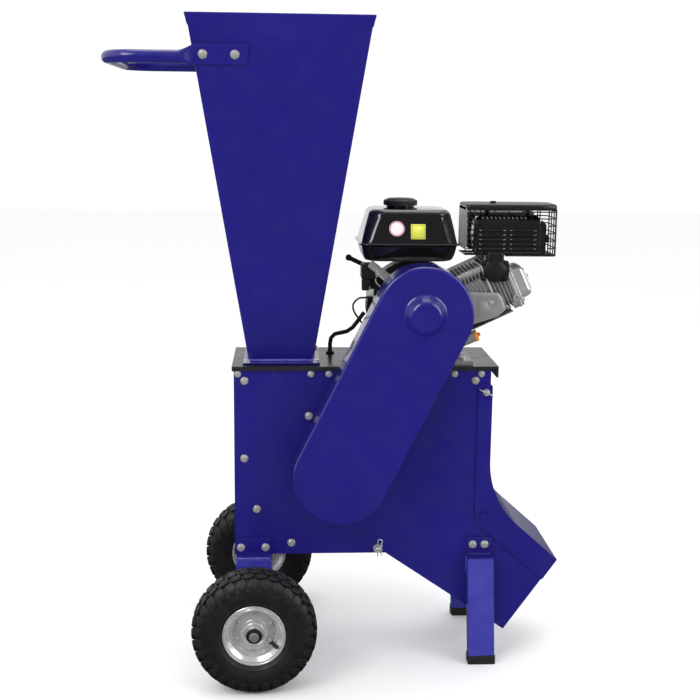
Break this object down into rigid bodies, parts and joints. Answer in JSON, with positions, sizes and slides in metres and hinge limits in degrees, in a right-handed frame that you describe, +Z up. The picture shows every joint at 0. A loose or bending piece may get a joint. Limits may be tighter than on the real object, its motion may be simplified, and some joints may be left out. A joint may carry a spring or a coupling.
{
  "type": "wood chipper",
  "caption": "Petrol wood chipper with a tall tapered hopper, bolted steel chamber with discharge chute, belt-driven rotor under a guard, engine on top, two pneumatic wheels and two front legs.",
  "frame": {"origin": "centre of the whole machine's footprint, on the ground", "axes": "+Z up, +X towards the discharge chute, -Y towards the side with the belt guard"},
  "size_m": [0.9578, 0.555, 1.367],
  "materials": {
    "blue_paint": "gloss powder coat",
    "dark_paint": "semi-gloss paint",
    "zinc_plate": "bright zinc plate",
    "bare_steel": "machined steel",
    "cast_iron": "painted cast iron",
    "cast_aluminium": "die cast",
    "shroud_steel": "satin grey paint",
    "chrome": "polished",
    "belt_rubber": "matt",
    "tyre_rubber": "moulded tread",
    "black_plastic": "fine moulded texture",
    "black_enamel": "gloss enamel",
    "black_sheet": "satin heat-proof paint",
    "red_plastic": "moulded",
    "orange_plastic": "moulded"
  },
  "bodies": {
    "root": {"near_panel": "blue_paint", "far_panel": "blue_paint", "back_wall": "blue_paint", "bottom_plate": "blue_paint", "chute_floor": "blue_paint", "header_plate": "blue_paint", "hopper": "blue_paint", "handle": "blue_paint", "belt_guard": "blue_paint", "wheel_legs": "blue_paint", "front_legs": "blue_paint", "top_plate": "dark_paint", "chamber_bolts": "zinc_plate", "frame_bolts": "zinc_plate", "screen_stays": "zinc_plate", "screen": "bare_steel", "axle": "bare_steel", "bearing_housings": "cast_iron", "crankcase": "cast_aluminium", "side_cover": "cast_aluminium", "cylinder_barrel": "cast_aluminium", "cylinder_head": "cast_aluminium", "carburettor": "cast_aluminium", "cylinder_shroud": "shroud_steel", "rocker_cover": "chrome", "drive_belt": "belt_rubber", "leg_feet": "belt_rubber", "spark_plug": "belt_rubber", "switch_cable": "belt_rubber", "axle_retainers": "black_plastic", "air_cleaner": "black_plastic", "control_box": "black_plastic", "fuel_tank": "black_enamel", "fan_housing": "black_sheet", "recoil_cover": "black_sheet", "muffler": "black_sheet", "muffler_cage": "black_sheet"},
    "near_wheel": {"near_tyre": "tyre_rubber", "near_rim": "zinc_plate"},
    "far_wheel": {"far_tyre": "tyre_rubber", "far_rim": "zinc_plate"},
    "rotor": {"rotor_shaft": "bare_steel", "rotor_discs": "dark_paint", "blades": "bare_steel", "rotor_pulley": "dark_paint"},
    "flails_a": {"hammers_a": "bare_steel"},
    "flails_b": {"hammers_b": "bare_steel"},
    "crank": {"crankshaft": "bare_steel", "flywheel": "cast_aluminium", "clutch_pulley": "dark_paint"},
    "cover": {"discharge_cover": "blue_paint"},
    "wing_nuts": {"cover_wing_nuts": "zinc_plate"},
    "screen_pin": {"screen_rod": "zinc_plate"},
    "starter": {"starter_grip": "black_plastic"},
    "choke": {"choke_lever": "black_plastic"},
    "tap": {"fuel_tap": "black_plastic"},
    "throttle": {"throttle_lever": "black_sheet"},
    "fuel_cap": {"tank_cap": "black_plastic"},
    "oil_filler": {"oil_cap": "orange_plastic"},
    "switch": {"stop_switch": "red_plastic"}
  },
  "joints": [
    {"name": "near_wheel_spin", "type": "hinge", "parent": "root", "child": "near_wheel", "pos_m": [-0.18035, -0.235, 0.13], "axis": [0, 1, 0], "continuous": true},
    {"name": "far_wheel_spin", "type": "hinge", "parent": "root", "child": "far_wheel", "pos_m": [-0.18035, 0.235, 0.13], "axis": [0, 1, 0], "continuous": true},
    {"name": "rotor_spin", "type": "hinge", "parent": "root", "child": "rotor", "pos_m": [-0.00135, 0, 0.438], "axis": [0, 1, 0], "continuous": true},
    {"name": "crank_spin", "type": "hinge", "parent": "root", "child": "crank", "pos_m": [0.16565, 0, 0.768], "axis": [0, 1, 0], "continuous": true},
    {"name": "flails_a_swing", "type": "hinge", "parent": "rotor", "child": "flails_a", "pos_m": [-0.10135, 0, 0.438], "axis": [0, 1, 0], "range_deg": [-100, 100]},
    {"name": "flails_b_swing", "type": "hinge", "parent": "rotor", "child": "flails_b", "pos_m": [0.09865, 0, 0.438], "axis": [0, 1, 0], "range_deg": [-100, 100]},
    {"name": "cover_tilt", "type": "hinge", "parent": "root", "child": "cover", "pos_m": [0.30965, 0, 0.604], "axis": [0, -1, 0], "range_deg": [0, 55]},
    {"name": "wing_nut_turn", "type": "hinge", "parent": "root", "child": "wing_nuts", "pos_m": [0.30965, 0, 0.604], "axis": [0, 1, 0], "continuous": true},
    {"name": "screen_rod_pull", "type": "slide", "parent": "root", "child": "screen_pin", "axis": [0, -1, 0], "range_m": [0, 0.24]},
    {"name": "starter_pull", "type": "slide", "parent": "root", "child": "starter", "axis": [1, 0, 0], "range_m": [0, 0.13], "stiffness_N_per_m": 60, "springref_m": -0.1},
    {"name": "choke_turn", "type": "hinge", "parent": "root", "child": "choke", "pos_m": [0.32553, 0.108, 0.86035], "axis": [0, -1, 0], "range_deg": [0, 60]},
    {"name": "fuel_tap_turn", "type": "hinge", "parent": "root", "child": "tap", "pos_m": [0.34329, 0.108, 0.83883], "axis": [0, -1, 0], "range_deg": [0, 60]},
    {"name": "throttle_turn", "type": "hinge", "parent": "root", "child": "throttle", "pos_m": [0.06565, 0.005, 0.856], "axis": [0, -1, 0], "range_deg": [0, 50]},
    {"name": "fuel_cap_turn", "type": "hinge", "parent": "root", "child": "fuel_cap", "pos_m": [0.13165, 0.02, 1], "axis": [0, 0, 1], "range_deg": [0, 90]},
    {"name": "oil_cap_turn", "type": "hinge", "parent": "root", "child": "oil_filler", "pos_m": [0.23465, -0.06, 0.6936], "axis": [0.9205, 0, 0.3907], "continuous": true},
    {"name": "stop_switch_turn", "type": "hinge", "parent": "root", "child": "switch", "pos_m": [0.05665, -0.006, 0.829], "axis": [0, 1, 0], "range_deg": [0, 60]}
  ],
  "couplings": [
    {"joint": "crank_spin", "follows": "rotor_spin", "ratio": 1.6742}
  ]
}
